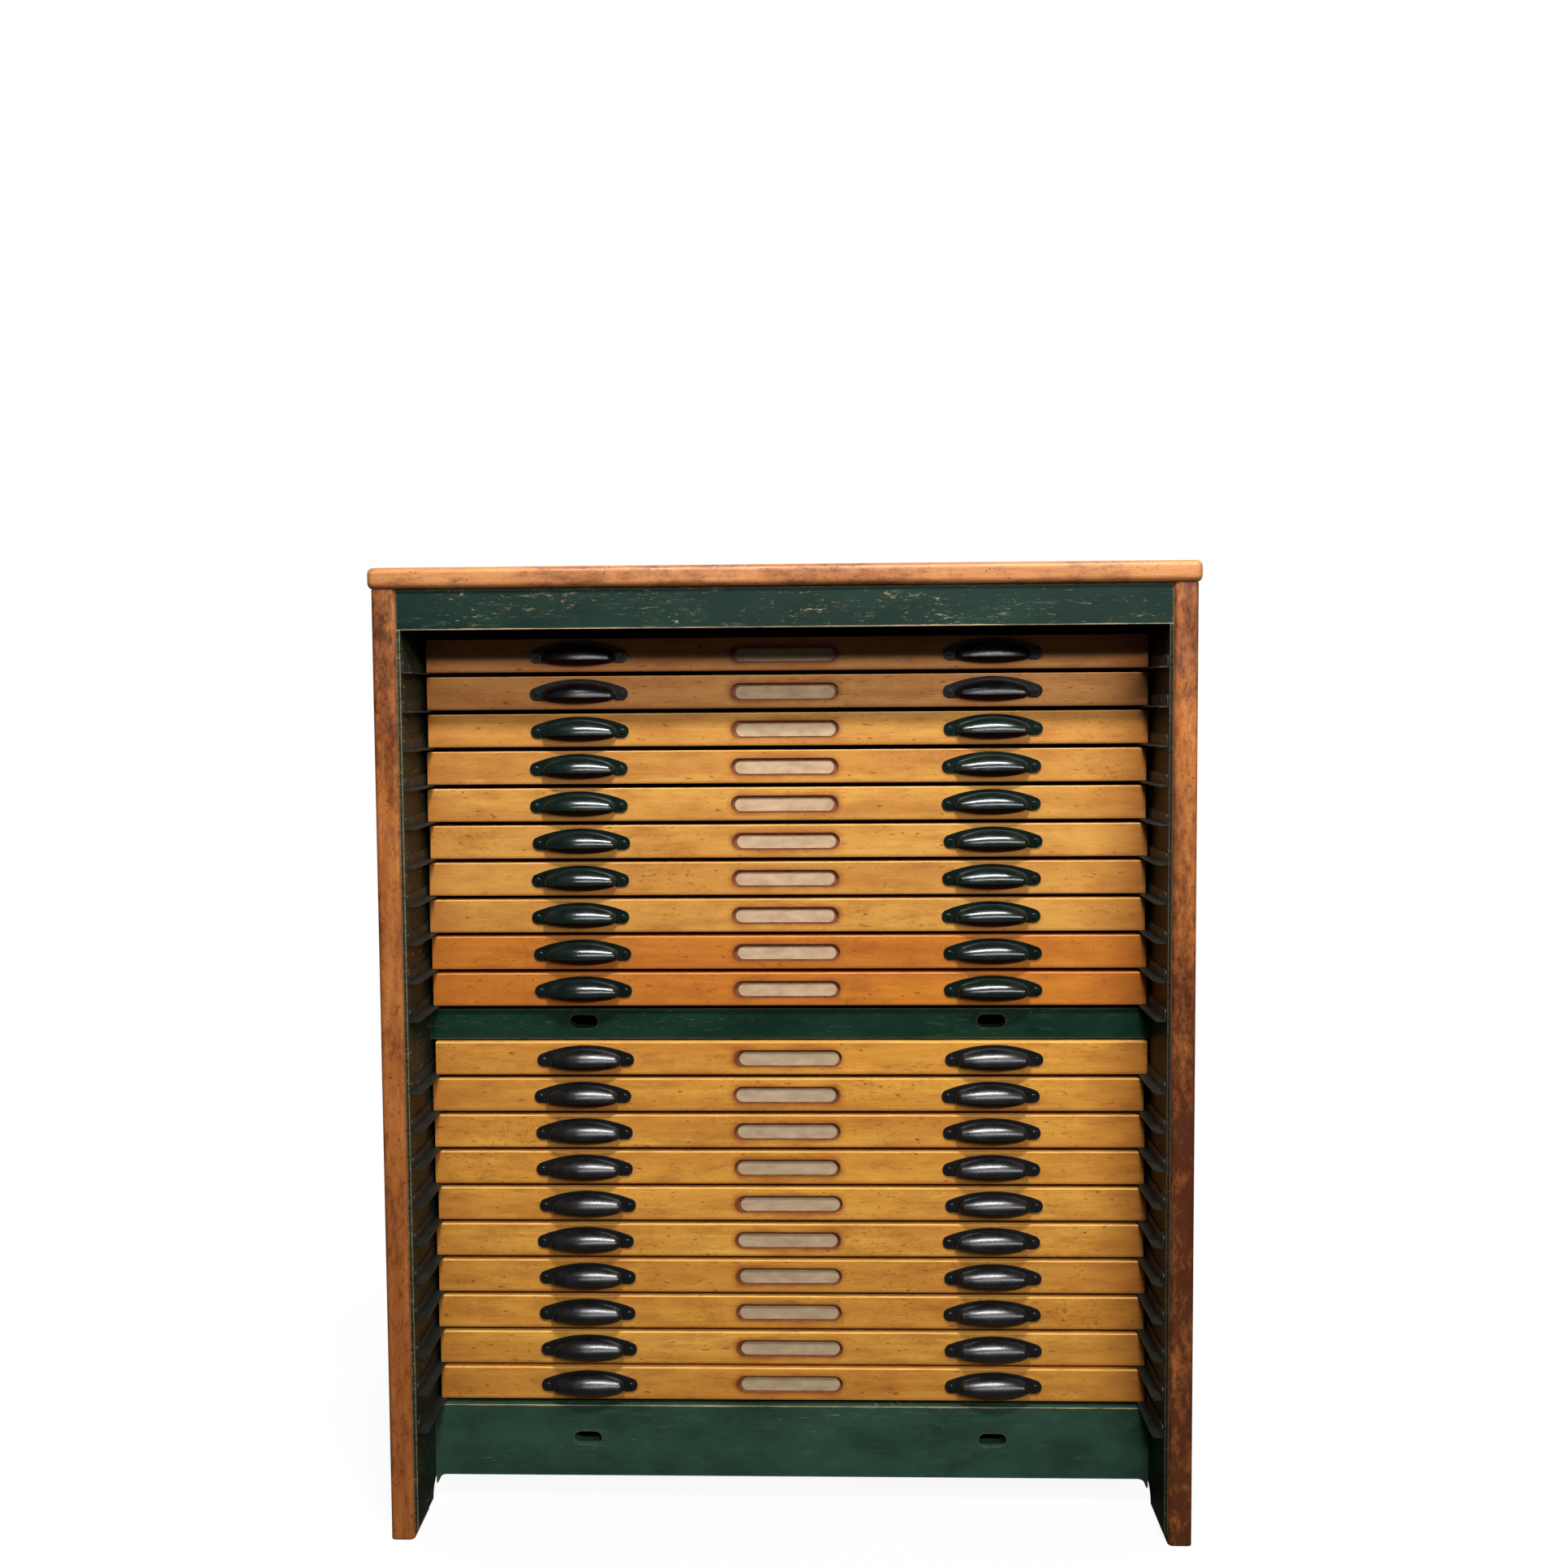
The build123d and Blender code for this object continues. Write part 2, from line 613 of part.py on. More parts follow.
case_body = [case_front_board()] + case_box() + case_dividers()
pull = [pull_casting()] + pull_screws()
pulls = [Pos(side * PULL_SPACING / 2, 0, PULL_LIFT) * piece for side in (-1, 1) for piece in pull]

for index, (drift, level) in enumerate(zip(CASE_DRIFT, case_levels)):
    card = label_card(UPPER_CARD if index < CASES_PER_GROUP else LOWER_CARD)
    save(f"case_{index + 1:02d}", place(case_body + [card], drift, level))
    save(f"case_{index + 1:02d}_pulls", place(pulls, drift, level))
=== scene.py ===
import math

import bpy
from mathutils import Matrix, Vector


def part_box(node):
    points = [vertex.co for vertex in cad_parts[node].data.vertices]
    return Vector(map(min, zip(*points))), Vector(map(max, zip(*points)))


# The looks of a floor-standing cabinet of type cases: worn varnished posts, chipped green
# rails, ochre case fronts with cards in routed recesses, and enamelled cup pulls.
# Metres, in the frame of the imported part: the front faces -Y and Z is up.

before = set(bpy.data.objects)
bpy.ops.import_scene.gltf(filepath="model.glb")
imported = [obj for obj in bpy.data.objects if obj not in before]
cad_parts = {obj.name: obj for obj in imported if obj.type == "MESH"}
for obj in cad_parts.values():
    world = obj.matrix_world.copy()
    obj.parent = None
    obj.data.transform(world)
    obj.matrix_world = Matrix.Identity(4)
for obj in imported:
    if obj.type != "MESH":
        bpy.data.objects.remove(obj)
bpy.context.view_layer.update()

CASES = [f"case_{number:02d}" for number in range(1, 21)]
# Counted from the top, two cases have browner fronts and black pulls. Ten lie above the
# middle rail, and the lowest two of those have orange fronts.
BROWN_CASES = 2
UPPER_CASES = 10
ORANGE_CASES = 2

CASE_PITCH = 0.0488
UPPER_BASE = 0.6686  # underside of the lowest case above the middle rail
LOWER_BASE = 0.1376  # underside of the lowest case of all
POST_FRONT = -0.346

# Places on the front of a case: heights are above its underside, widths from its middle.
LABEL_HEIGHT = 0.0216  # middle of the label's recess
LABEL_STRAIGHT = 0.059  # half the length between its round ends
PULL_MIDDLE = 0.2685
PULL_LIP = 0.0157
PULL_SHADOW_SIZE = (0.046, 0.0105)  # half the width and height of the painted shadow under a pull

# Limits that tell the faces of a case apart. Depths are behind its front.
RECESS_REACH = 0.0706
RECESS_HEIGHTS = (0.0095, 0.0337)
RECESS_DEPTHS = (0.0001, 0.0042)
CARD_DEPTHS = (0.0030, 0.0039)
FRONT_DEPTH = 0.0195
TRAY_REACH = 0.4519  # the side walls lie further out

PHOTO_SIZE = 1932  # pixels, each way
FOCAL_LENGTH = 1640  # pixels
VERTICAL_SHIFT = -19  # pixels
SENSOR_WIDTH = 36  # millimetres

# Reddish brown for real stains, and also for painted shade at the case ends and below the pulls.
STAIN_AND_SHADE = (0.3, 0.08, 0.014)
# Colour of the painted shadow just under the pulls.
PULL_SHADOW_COLOR = (0.035, 0.012, 0.006)
POST_COLORS = {
    "light": (0.52, 0.185, 0.042),
    "middle": (0.29, 0.076, 0.016),
    "dark": (0.05, 0.011, 0.004),
}


# ---------------------------------------------------------------- shader helpers


class Shader:
    """A material whose nodes are built by calls that return sockets; below it is called s."""

    def __init__(self, name):
        self.material = bpy.data.materials.new(name)
        self.material.use_nodes = True
        self.tree = self.material.node_tree
        self.surface = self.tree.nodes["Principled BSDF"]
        self.place = self.add("ShaderNodeTexCoord").outputs["Object"]
        self.axes = self.add("ShaderNodeSeparateXYZ", Vector=self.place).outputs

    def add(self, kind, settings=None, **inputs):
        """A new node with its settings and inputs; an input's spaces are written as _."""
        node = self.tree.nodes.new(kind)
        for key, value in (settings or {}).items():
            setattr(node, key, value)
        for key, value in inputs.items():
            self.give(node.inputs[key.replace("_", " ")], value)
        return node

    def give(self, socket, value):
        """Links a socket, or sets a number or colour."""
        if isinstance(value, bpy.types.NodeSocket):
            self.tree.links.new(value, socket)
        elif socket.type == "RGBA" and len(value) == 3:
            socket.default_value = (*value, 1)
        else:
            socket.default_value = value

    def math(self, operation, *values):
        node = self.add("ShaderNodeMath", {"operation": operation})
        for socket, value in zip(node.inputs, values):
            self.give(socket, value)
        return node.outputs[0]

    def stretched(self, scale, shift=(0, 0, 0)):
        """Object coordinates, scaled by a different amount along each axis."""
        node = self.add("ShaderNodeMapping", Vector=self.place, Scale=scale, Location=shift)
        return node.outputs[0]

    def noise(self, scale, detail, roughness=0.55, distortion=0.0, shift=(0, 0, 0)):
        """Cloudy values round 0.5; scale is how fine they are along each axis."""
        node = self.add("ShaderNodeTexNoise", Vector=self.stretched(scale, shift), Scale=1.0,
                        Detail=detail, Roughness=roughness, Distortion=distortion)
        return node.outputs["Fac"]

    def cells(self, scale):
        """Distance to the nearest of many scattered points."""
        node = self.add("ShaderNodeTexVoronoi", Vector=self.stretched(scale), Scale=1.0)
        return node.outputs["Distance"]

    def span(self, value, low, high, start=0.0, end=1.0):
        """Maps low..high to start..end, and clamps."""
        limits = {"From_Min": low, "From_Max": high, "To_Min": start, "To_Max": end}
        return self.add("ShaderNodeMapRange", Value=value, **limits).outputs[0]

    def mix(self, amount, first, second):
        """The first colour at 0, the second at 1."""
        node = self.add("ShaderNodeMix", {"data_type": "RGBA"})
        self.give(node.inputs[0], amount)
        self.give(node.inputs[6], first)
        self.give(node.inputs[7], second)
        return node.outputs[2]

    def edges(self, radius):
        """About 1 on arrises and 0 on flat ground."""
        bevel = self.add("ShaderNodeBevel", {"samples": 4}, Radius=radius).outputs[0]
        flat = self.add("ShaderNodeNewGeometry").outputs["True Normal"]
        dot = self.add("ShaderNodeVectorMath", {"operation": "DOT_PRODUCT"})
        self.give(dot.inputs[0], bevel)
        self.give(dot.inputs[1], flat)
        return self.span(dot.outputs["Value"], 0.995, 0.8)

    def close(self, color, roughness, height, strength, distance, **surface):
        """Sets the surface, with bumps of a height, and returns the material."""
        self.give(self.surface.inputs["Base Color"], color)
        self.give(self.surface.inputs["Roughness"], roughness)
        for key, value in surface.items():
            self.give(self.surface.inputs[key.replace("_", " ")], value)
        bump = self.add("ShaderNodeBump", Height=height, Strength=strength, Distance=distance)
        self.give(self.surface.inputs["Normal"], bump.outputs[0])
        return self.material


def along(axis, fine, coarse):
    """Scales for grain that runs along one axis."""
    return tuple(coarse if index == axis else fine for index in range(3))


def shade(color, factor, lift=0.0):
    """A colour made darker or lighter."""
    return tuple(part * factor + lift for part in color)


# ---------------------------------------------------------------- materials


def varnished_wood(name, axis, light, middle, dark, grime, gloom=(0.0, 1.0, 0.0, 0.0)):
    """Old varnished wood: faint grain, cloudy dark stains, specks and darker arrises.

    grime is how dark the arrises are. gloom is two heights and how much more the wood is
    stained at each of them.
    """
    s = Shader(name)
    rings = s.noise(along(axis, 45, 4.0), detail=4, distortion=0.8)
    fibres = s.noise(along(axis, 700, 30), detail=3)
    stains = s.noise(along(axis, 110, 48), detail=8, roughness=0.75)
    patches = s.noise(along(axis, 11, 5), detail=5, roughness=0.65, shift=(5, 2, 8))
    specks = s.noise((210, 210, 210), detail=4, roughness=0.7, shift=(1, 9, 4))
    dents = s.cells(along(axis, 120, 80))
    amount = s.span(s.axes[2], *gloom)
    color = s.mix(s.span(rings, 0.3, 0.7, 0.15, 0.95), middle, light)
    color = s.mix(s.span(fibres, 0.48, 0.75, 0.0, 0.35), color, dark)
    color = s.mix(s.span(patches, 0.42, 0.62, 0.0, 0.75), color, middle)
    soiled = s.math("ADD", s.math("MULTIPLY", stains, 0.55), s.math("MULTIPLY", patches, 0.45))
    soiled = s.math("ADD", soiled, s.math("MULTIPLY", amount, 0.12))
    color = s.mix(s.span(soiled, 0.49, 0.66, 0.0, 0.9), color, dark)
    color = s.mix(s.span(specks, 0.61, 0.68, 0.0, 0.85), color, dark)
    rim = s.math("MULTIPLY", s.edges(0.007), s.span(stains, 0.3, 0.55, 0.4, 1.0))
    color = s.mix(s.math("MULTIPLY", rim, grime), color, dark)
    pits = s.span(dents, 0.0, 0.13, 1.0, 0.0)
    color = s.mix(s.math("MULTIPLY", pits, 0.7), color, dark)
    rough = s.span(s.noise((18, 18, 18), detail=6), 0.3, 0.7, 0.32, 0.52)
    height = s.math("SUBTRACT", s.math("MULTIPLY", stains, 0.6), pits)
    return s.close(color, rough, height, 0.3, 0.0005, Specular_IOR_Level=0.35)


def plain_wood(name, axis, light, dark):
    """Bare, dusty wood of the unseen inside and back."""
    s = Shader(name)
    rings = s.noise(along(axis, 85, 2.5), detail=8, roughness=0.62, distortion=0.8)
    fibres = s.noise(along(axis, 700, 18), detail=3)
    pores = s.noise(along(axis, 420, 12), detail=2, shift=(3, 5, 1))
    dust = s.noise((6, 6, 6), detail=5)
    color = s.mix(s.span(rings, 0.32, 0.68), dark, light)
    color = s.mix(s.span(fibres, 0.45, 0.75, 0.0, 0.45), color, dark)
    color = s.mix(s.span(pores, 0.62, 0.7, 0.0, 0.5), color, shade(dark, 0.5))
    color = s.mix(s.span(dust, 0.5, 0.75, 0.0, 0.3), color, (0.16, 0.13, 0.1))
    return s.close(color, 0.75, fibres, 0.4, 0.0005)


def green_paint(name, tint, chips, rim_wear, worn_edge=None):
    """Dark green paint on wood, with chips, scratches and rubbed arrises.

    chips and rim_wear are how much of the wood shows through, on the flats and on the
    arrises. worn_edge is the y and z of a front edge that is rubbed bare in patches.
    """
    s = Shader(name)
    cloud = s.noise((9, 9, 16), detail=5, roughness=0.6)
    color = s.mix(s.span(cloud, 0.3, 0.7), shade(tint, 0.62), shade(tint, 1.25))
    scuffs = s.noise((28, 60, 160), detail=4, roughness=0.7)
    color = s.mix(s.span(scuffs, 0.58, 0.8, 0.0, 0.3), color, (0.12, 0.17, 0.12))
    flakes = s.noise((75, 75, 330), detail=6, roughness=0.75)
    where = s.noise((9, 9, 26), detail=3, shift=(3, 1, 5))
    chip = s.math("MULTIPLY", s.span(flakes, 0.69 - 0.08 * chips, 0.72 - 0.08 * chips),
                  s.span(where, 0.46, 0.62))
    scratch = s.noise((26, 26, 520), detail=2, distortion=3.0, shift=(0, 0, 9))
    line = s.math("MULTIPLY", s.span(scratch, 0.69, 0.71), s.span(where, 0.48, 0.6, 0.0, 0.6))
    arris = s.math("MULTIPLY", s.edges(0.0035), s.span(flakes, 0.36, 0.5))
    bare = s.math("MAXIMUM", s.math("MAXIMUM", s.math("MULTIPLY", chip, 0.75 * chips), line),
                  s.math("MULTIPLY", arris, rim_wear))
    if worn_edge:
        back = s.math("ABSOLUTE", s.math("SUBTRACT", s.axes[1], worn_edge[0]))
        rise = s.math("ABSOLUTE", s.math("SUBTRACT", s.axes[2], worn_edge[1]))
        near = s.span(s.math("ADD", back, rise), 0.0, 0.005, 1.0, 0.0)
        patches = s.noise((14, 30, 30), detail=5, roughness=0.7, shift=(4, 1, 1))
        bare = s.math("MAXIMUM", bare, s.span(s.math("ADD", near, patches), 1.25, 1.4))
    wood = s.mix(s.noise((40, 200, 400), detail=3), (0.24, 0.15, 0.07), (0.5, 0.38, 0.22))
    color = s.mix(bare, color, wood)
    rough = s.math("ADD", s.span(cloud, 0.3, 0.7, 0.4, 0.58), s.math("MULTIPLY", bare, 0.2))
    height = s.math("SUBTRACT", s.math("MULTIPLY", cloud, 0.6), bare)
    return s.close(color, rough, height, 0.5, 0.0004, Specular_IOR_Level=0.17)


def case_front_wood(name, base, light, middle, dark):
    """Front of a case: rubbed varnish, flecks, a stained ring round the label, and painted shade at
    the ends, under the pulls and along the lower edge.

    base is the underside of any case that wears it.
    """
    s = Shader(name)
    x, _, z = s.axes
    rings = s.noise((3.0, 60, 75), detail=5, distortion=0.7)
    fibres = s.noise((24, 500, 900), detail=3)
    cloud = s.noise((5, 5, 14), detail=4)
    flecks = s.noise((80, 150, 240), detail=3, shift=(2, 7, 4))
    marks = s.noise((55, 90, 600), detail=2, distortion=1.5, shift=(8, 3, 1))
    # Height above the case's underside, and a tone of its own for each case.
    step = s.math("DIVIDE", s.math("SUBTRACT", z, base), CASE_PITCH)
    level = s.math("MULTIPLY", s.math("FRACT", step), CASE_PITCH)
    chance = s.add("ShaderNodeTexWhiteNoise", {"noise_dimensions": "1D"}, W=s.math("FLOOR", step))
    tone = chance.outputs["Value"]
    redness = s.span(s.noise((0.9, 0.9, 17), detail=1, shift=(1, 1, 2.3)), 0.4, 0.65)
    smoke = s.noise((16, 40, 55), detail=6, roughness=0.7, shift=(3, 3, 7))
    dings = s.noise((130, 130, 260), detail=5, roughness=0.75, shift=(6, 2, 2))
    where = s.noise((6, 9, 11), detail=3, shift=(7, 5, 3))
    scrapes = s.noise((170, 90, 26), detail=2, distortion=2.5, shift=(2, 8, 9))
    color = s.mix(s.span(rings, 0.32, 0.66), middle, light)
    color = s.mix(s.math("MULTIPLY", tone, 0.6), color, middle)
    color = s.mix(s.span(cloud, 0.42, 0.75, 0.0, 0.6), color, middle)
    color = s.mix(s.math("MULTIPLY", redness, 0.3), color, STAIN_AND_SHADE)
    color = s.mix(s.span(smoke, 0.44, 0.7, 0.0, 0.6), color, STAIN_AND_SHADE)
    color = s.mix(s.span(fibres, 0.48, 0.75, 0.0, 0.3), color, dark)
    color = s.mix(s.span(flecks, 0.66, 0.71, 0.0, 0.8), color, dark)
    color = s.mix(s.span(marks, 0.68, 0.71, 0.0, 0.65), color, dark)
    worse = s.span(where, 0.5, 0.64)
    color = s.mix(s.math("MULTIPLY", s.span(dings, 0.57, 0.64, 0.0, 0.8), worse), color, dark)
    color = s.mix(s.math("MULTIPLY", s.span(scrapes, 0.7, 0.73, 0.0, 0.6), worse), color, dark)
    # A stain that fades away from the label's recess.
    outward = s.math("ABSOLUTE", x)
    sideways = s.math("MAXIMUM", s.math("SUBTRACT", outward, LABEL_STRAIGHT), 0.0)
    upright = s.math("SUBTRACT", level, LABEL_HEIGHT)
    apart = s.math("SQRT", s.math("ADD", s.math("POWER", sideways, 2), s.math("POWER", upright, 2)))
    halo = s.math("MULTIPLY", s.span(apart, 0.0106, 0.0185, 1.0, 0.0),
                  s.span(smoke, 0.35, 0.6, 0.35, 0.95))
    color = s.mix(halo, color, STAIN_AND_SHADE)
    color = s.mix(s.span(apart, 0.0108, 0.0126, 0.7, 0.0), color, (0.12, 0.028, 0.01))
    # Painted shadow under each pull: near-black just below it, then a fading reddish painted shade
    # further down.
    aside = s.math("DIVIDE", s.math("SUBTRACT", outward, PULL_MIDDLE), PULL_SHADOW_SIZE[0])
    under = s.math("DIVIDE", s.math("SUBTRACT", level, PULL_LIP), PULL_SHADOW_SIZE[1])
    pull_shadow_reach = s.math("ADD", s.math("POWER", aside, 2), s.math("POWER", under, 2))
    color = s.mix(s.span(pull_shadow_reach, 0.7, 1.15, 0.93, 0.0), color, PULL_SHADOW_COLOR)
    color = s.mix(s.span(pull_shadow_reach, 1.0, 2.4, 0.4, 0.0), color, STAIN_AND_SHADE)
    # Painted shade towards the ends, darker and redder, most at the right.
    left_end = s.span(x, -0.466, -0.42, 0.45, 0.0)
    right_end = s.span(x, 0.38, 0.47, 0.0, 0.75)
    ends = s.math("MULTIPLY", s.math("MAXIMUM", left_end, right_end),
                  s.span(rings, 0.3, 0.65, 0.55, 1.0))
    color = s.mix(ends, color, STAIN_AND_SHADE)
    color = s.mix(s.math("POWER", ends, 3), color, dark)
    # Painted shade along the lower edge, next to the dark gap under the case, and a pale line along
    # the upper edge, partly rubbed varnish and partly a painted highlight on the arris.
    color = s.mix(s.span(level, 0.0, 0.0045, 0.75, 0.0), color, dark)
    worn = s.math("MULTIPLY", s.span(level, 0.0412, 0.0428), s.span(fibres, 0.35, 0.6, 0.1, 0.6))
    color = s.mix(worn, color, shade(light, 1.3, 0.05))
    rough = s.span(cloud, 0.3, 0.7, 0.33, 0.5)
    height = s.math("SUBTRACT", s.math("MULTIPLY", fibres, 0.5), s.span(marks, 0.69, 0.72))
    return s.close(color, rough, height, 0.3, 0.0004, Specular_IOR_Level=0.2)


def recess_wood(name):
    """Dark red-brown of the routed label recess."""
    s = Shader(name)
    cloud = s.noise((120, 120, 120), detail=4)
    color = s.mix(s.span(cloud, 0.3, 0.7), (0.11, 0.026, 0.009), (0.26, 0.08, 0.024))
    return s.close(color, 0.5, cloud, 0.4, 0.0004)


def card_paper(name, light, dark):
    """Yellowed card with faint foxing."""
    s = Shader(name)
    cloud = s.noise((40, 40, 90), detail=5)
    fibres = s.noise((600, 600, 900), detail=3)
    spots = s.noise((230, 230, 260), detail=2, shift=(4, 4, 4))
    color = s.mix(s.span(cloud, 0.3, 0.7), dark, light)
    color = s.mix(s.span(spots, 0.66, 0.75, 0.0, 0.5), color, (0.36, 0.2, 0.09))
    return s.close(color, 0.8, fibres, 0.3, 0.0002)


def enamel(name, color, worn, rough, gloss):
    """Thick old enamel on iron: faintly uneven, rubbed and dusty in places."""
    s = Shader(name)
    swell = s.noise((70, 70, 70), detail=1)
    cloud = s.noise((60, 60, 60), detail=5)
    rub = s.noise((170, 170, 300), detail=5, roughness=0.7)
    base = s.mix(s.span(cloud, 0.35, 0.7), color, shade(color, 1.5, 0.001))
    bare = s.span(rub, 0.70, 0.74, 0.0, 0.5)
    arris = s.math("MULTIPLY", s.edges(0.0012), s.span(rub, 0.4, 0.6, 0.05, 0.35))
    base = s.mix(s.math("MAXIMUM", bare, arris), base, worn)
    roughness = s.math("ADD", s.span(cloud, 0.3, 0.7, rough, rough + 0.08),
                       s.math("MULTIPLY", bare, 0.2))
    return s.close(base, roughness, swell, 0.03, 0.001, Specular_IOR_Level=gloss)


def steel(name, paint, bare, rough):
    """Old steel, dull and partly rubbed."""
    s = Shader(name)
    cloud = s.noise((25, 25, 60), detail=6, roughness=0.7)
    rub = s.math("MAXIMUM", s.span(cloud, 0.52, 0.6), s.edges(0.001))
    color = s.mix(s.math("MULTIPLY", rub, 0.6), paint, bare)
    return s.close(color, s.span(cloud, 0.3, 0.7, rough, rough + 0.2), cloud, 0.2, 0.0003,
                   Metallic=s.math("MULTIPLY", rub, 0.6))


left_post_wood = varnished_wood("left_post_wood", 2, **POST_COLORS, grime=0.85,
                                gloom=(0.8, 1.15, 0.15, 0.8))
right_post_wood = varnished_wood("right_post_wood", 2, **POST_COLORS, grime=0.85,
                                 gloom=(0.15, 0.85, 1.45, 0.6))
top_wood = varnished_wood("top_wood", 0, (0.57, 0.25, 0.083), (0.33, 0.108, 0.029),
                          (0.05, 0.013, 0.005), grime=0.9)
side_wood = varnished_wood("side_rail_wood", 1, **POST_COLORS, grime=0.6)
back_wood = plain_wood("back_wood", 0, (0.3, 0.19, 0.1), (0.14, 0.08, 0.04))
tray_wood = plain_wood("tray_wood", 0, (0.42, 0.27, 0.13), (0.2, 0.11, 0.05))
tray_side_wood = plain_wood("tray_side_wood", 1, (0.4, 0.25, 0.12), (0.2, 0.11, 0.05))
top_rail_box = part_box("top_rail")
bottom_rail_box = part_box("bottom_rail")
top_rail_paint = green_paint("top_rail_paint", (0.0035, 0.0185, 0.0122), 1.15, 0.5,
                             worn_edge=(top_rail_box[0].y, top_rail_box[0].z))
middle_rail_paint = green_paint("middle_rail_paint", (0.004, 0.024, 0.013), 0.25, 0.2)
bottom_rail_paint = green_paint("bottom_rail_paint", (0.024, 0.061, 0.039), 0.3, 0.2,
                                worn_edge=(bottom_rail_box[0].y, bottom_rail_box[1].z))
left_lining_paint = green_paint("left_lining_paint", (0.014, 0.021, 0.012), 1.1, 0.8)
# The right lining has the same paint as the left, darkened almost to black as painted shade.
right_lining_shaded_paint = green_paint("right_lining_shaded_paint", (0.004, 0.005, 0.004), 0.15, 0.35)
runner_steel = steel("runner_steel", (0.006, 0.009, 0.006), (0.045, 0.04, 0.03), 0.45)
screw_steel = steel("screw_steel", (0.03, 0.025, 0.02), (0.2, 0.18, 0.15), 0.4)
recess = recess_wood("recess_wood")
upper_card = card_paper("upper_card", (0.54, 0.375, 0.235), (0.38, 0.24, 0.13))
lower_card = card_paper("lower_card", (0.47, 0.35, 0.22), (0.34, 0.23, 0.13))
green_enamel = enamel("green_enamel", (0.0022, 0.0065, 0.0048), (0.06, 0.075, 0.06), 0.16, 0.6)
black_enamel = enamel("black_enamel", (0.003, 0.003, 0.0035), (0.05, 0.05, 0.05), 0.24, 0.7)

brown_front = case_front_wood("front_top", UPPER_BASE, (0.7, 0.34, 0.1), (0.56, 0.24, 0.065),
                              (0.16, 0.05, 0.012))
upper_front = case_front_wood("front_upper", UPPER_BASE, (0.68, 0.36, 0.08), (0.55, 0.26, 0.05),
                              (0.2, 0.07, 0.012))
orange_front = case_front_wood("front_orange", UPPER_BASE, (0.64, 0.235, 0.03),
                               (0.51, 0.16, 0.018), (0.2, 0.055, 0.008))
lower_front = case_front_wood("front_lower", LOWER_BASE, (0.79, 0.42, 0.076),
                              (0.62, 0.265, 0.038), (0.18, 0.06, 0.01))


# ---------------------------------------------------------------- dressing the parts


def dress(name, *materials, choose=None):
    """Gives a node its materials; choose picks one of them by the middle of each face."""
    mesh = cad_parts[name].data
    mesh.materials.clear()
    for material in materials:
        mesh.materials.append(material)
    for face in mesh.polygons:
        face.material_index = choose(face.center) if choose else 0


def between(value, limits):
    return limits[0] < value < limits[1]


def dress_case(name, front, card):
    """Front, recess, card and the inside of one case."""
    low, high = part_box(name)
    middle = (low.x + high.x) / 2
    materials = (front, recess, card, tray_wood, tray_side_wood)

    def choose(centre):
        sideways = abs(centre.x - middle)
        depth = centre.y - low.y
        at_label = sideways < RECESS_REACH and between(centre.z - low.z, RECESS_HEIGHTS)
        if at_label and between(depth, CARD_DEPTHS):
            return materials.index(card)
        if at_label and between(depth, RECESS_DEPTHS):
            return materials.index(recess)
        if depth < FRONT_DEPTH:
            return materials.index(front)
        return materials.index(tray_side_wood if sideways > TRAY_REACH else tray_wood)

    dress(name, *materials, choose=choose)


def case_front(index):
    """The front of a case counted from 0 at the top."""
    if index < BROWN_CASES:
        return brown_front
    if index < UPPER_CASES - ORANGE_CASES:
        return upper_front
    return orange_front if index < UPPER_CASES else lower_front


for index, name in enumerate(CASES):
    dress_case(name, case_front(index), upper_card if index < UPPER_CASES else lower_card)
    dress(name + "_pulls", green_enamel if BROWN_CASES <= index < UPPER_CASES else black_enamel)

for name in ("left_front_post", "left_rear_post"):
    dress(name, left_post_wood)
for name in ("right_front_post", "right_rear_post"):
    dress(name, right_post_wood)
dress("top_board", top_wood)
for name in ("left_side_rails", "right_side_rails"):
    dress(name, side_wood)
dress("left_lining", left_lining_paint)
dress("right_lining", right_lining_shaded_paint)
dress("top_rail", top_rail_paint)
dress("middle_rail", middle_rail_paint)
dress("bottom_rail", bottom_rail_paint)
for name in ("back_rails", "back_panel", "bottom_board", "top_dowels"):
    dress(name, back_wood)
for name in ("left_runners", "right_runners"):
    dress(name, runner_steel)
for name in ("runner_screws", "rail_screws"):
    dress(name, screw_steel)


# ---------------------------------------------------------------- floor, lights, camera


def studio_floor():
    """A floor that the camera sees as white, with a soft shadow near the cabinet.

    To all other rays it is dark, so that it throws little light up on the cabinet.
    """
    bpy.ops.mesh.primitive_circle_add(vertices=96, radius=9, fill_type="NGON")
    floor = bpy.context.object
    floor.name = "studio_floor"
    s = Shader("studio_floor")
    light = s.add("ShaderNodeEmission", Color=(1, 1, 1), Strength=1.0)
    far = s.math("SQRT", s.math("ADD", s.math("POWER", s.axes[0], 2), s.math("POWER", s.axes[1], 2)))
    seen = s.add("ShaderNodeLightPath").outputs["Is Camera Ray"]
    amount = s.math("MULTIPLY", seen, s.span(far, 0.7, 1.8, 0.93, 1.0))
    mixer = s.add("ShaderNodeMixShader", Fac=amount)
    s.give(s.surface.inputs["Base Color"], s.mix(seen, (0.03, 0.03, 0.03), (0.8, 0.8, 0.8)))
    s.give(s.surface.inputs["Roughness"], 0.9)
    s.tree.links.new(s.surface.outputs[0], mixer.inputs[1])
    s.tree.links.new(light.outputs[0], mixer.inputs[2])
    s.tree.links.new(mixer.outputs[0], s.tree.nodes["Material Output"].inputs[0])
    floor.data.materials.append(s.material)


